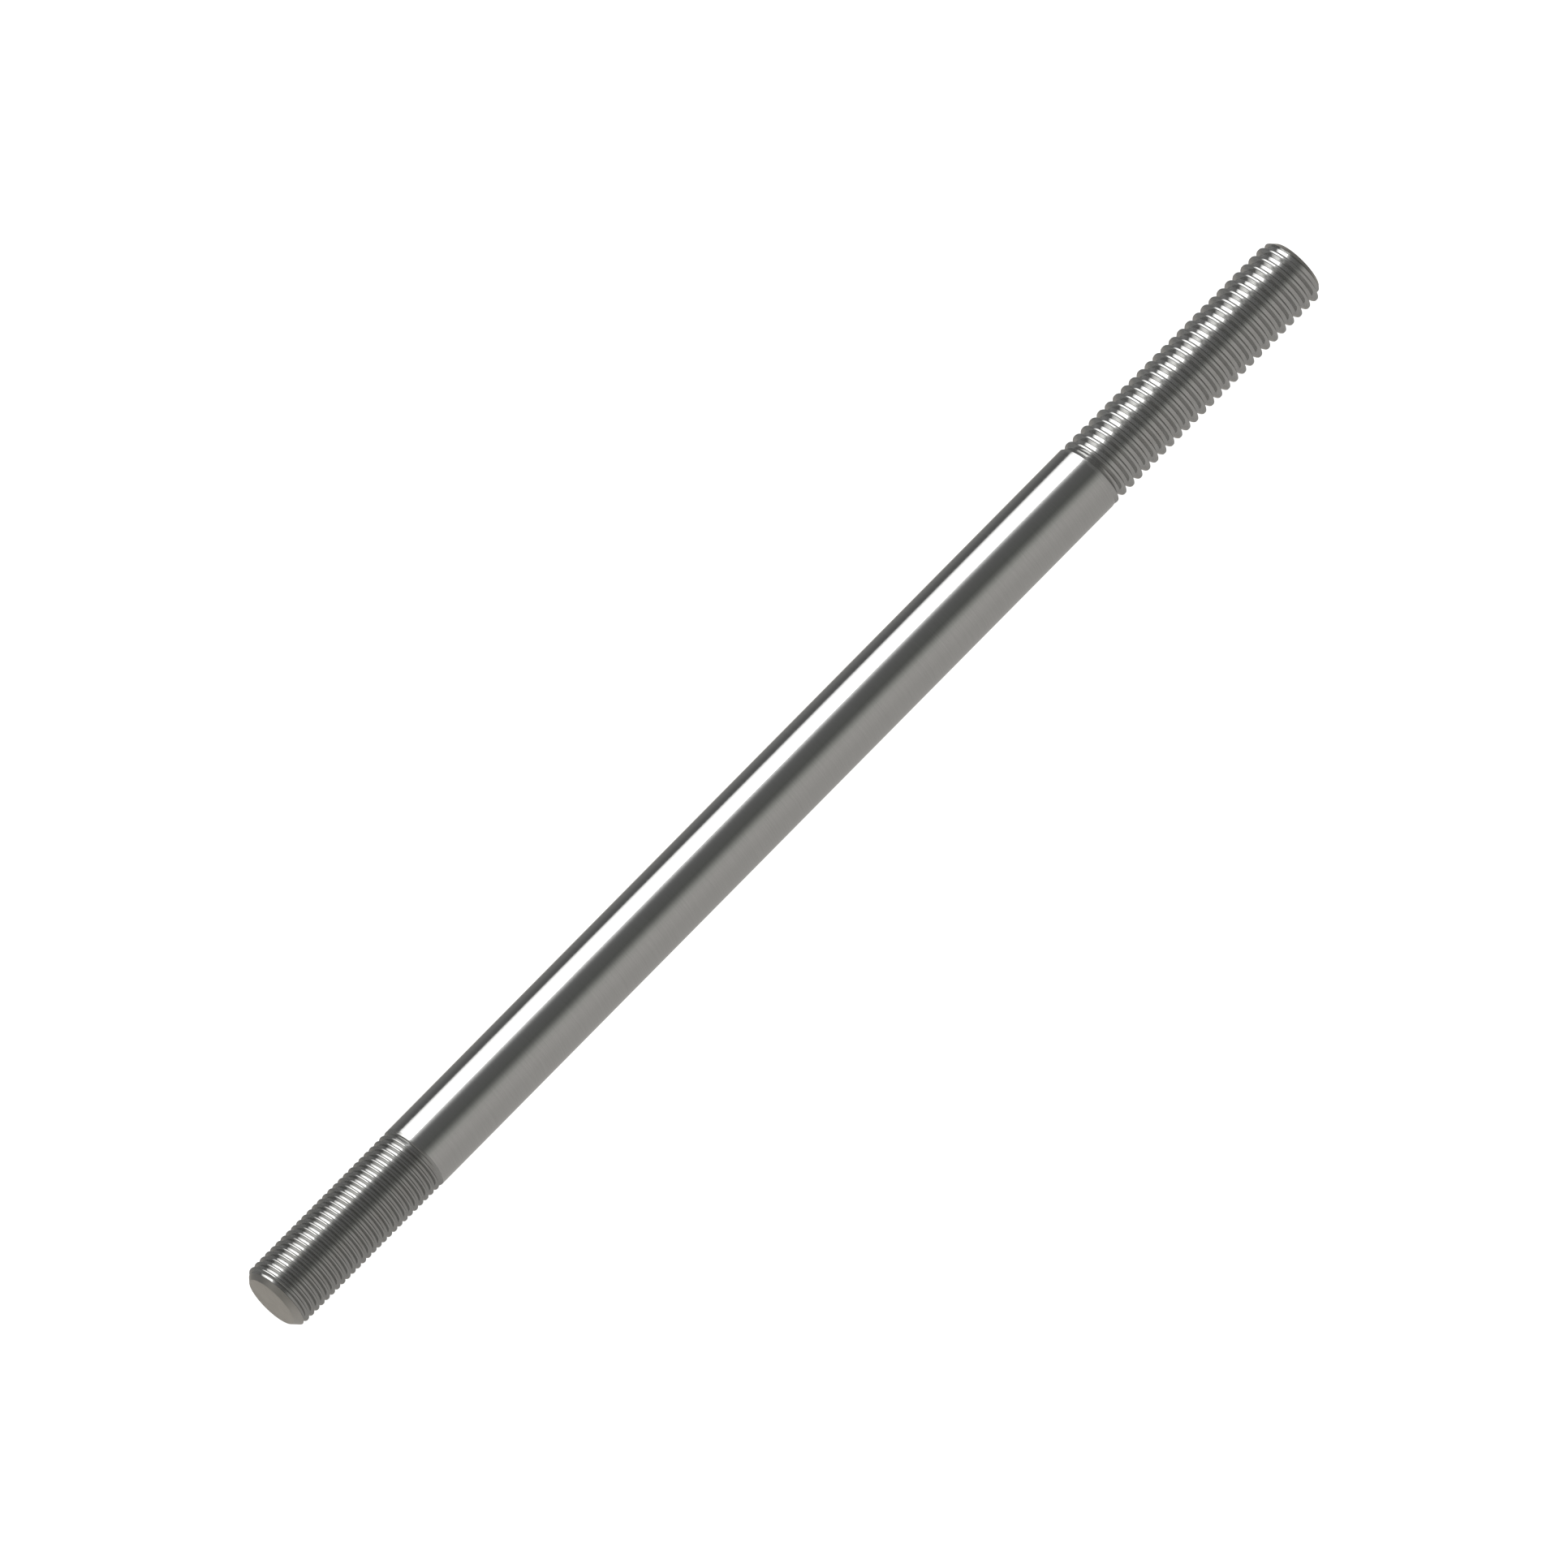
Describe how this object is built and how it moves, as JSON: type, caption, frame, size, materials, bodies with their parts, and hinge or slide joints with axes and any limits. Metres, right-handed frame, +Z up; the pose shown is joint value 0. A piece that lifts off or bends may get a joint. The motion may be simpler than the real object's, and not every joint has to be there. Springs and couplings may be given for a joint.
{
  "type": "double-end stud",
  "caption": "One-piece steel double-end stud: plain full-diameter shank, coarse thread on one end, fine thread on the other, both ends chamfered and flat.",
  "frame": {"origin": "on the bar's axis, halfway between its two end faces", "axes": "+X along the bar towards the coarse-thread end, -X towards the fine-thread end, +Z up as it lies on a bench"},
  "size_m": [0.2508, 0.0126, 0.0126],
  "materials": {
    "polished_steel": "bright ground and polished shank, rolled threads, lathe-faced ends"
  },
  "bodies": {
    "root": {"stud": "polished_steel"}
  },
  "joints": []
}
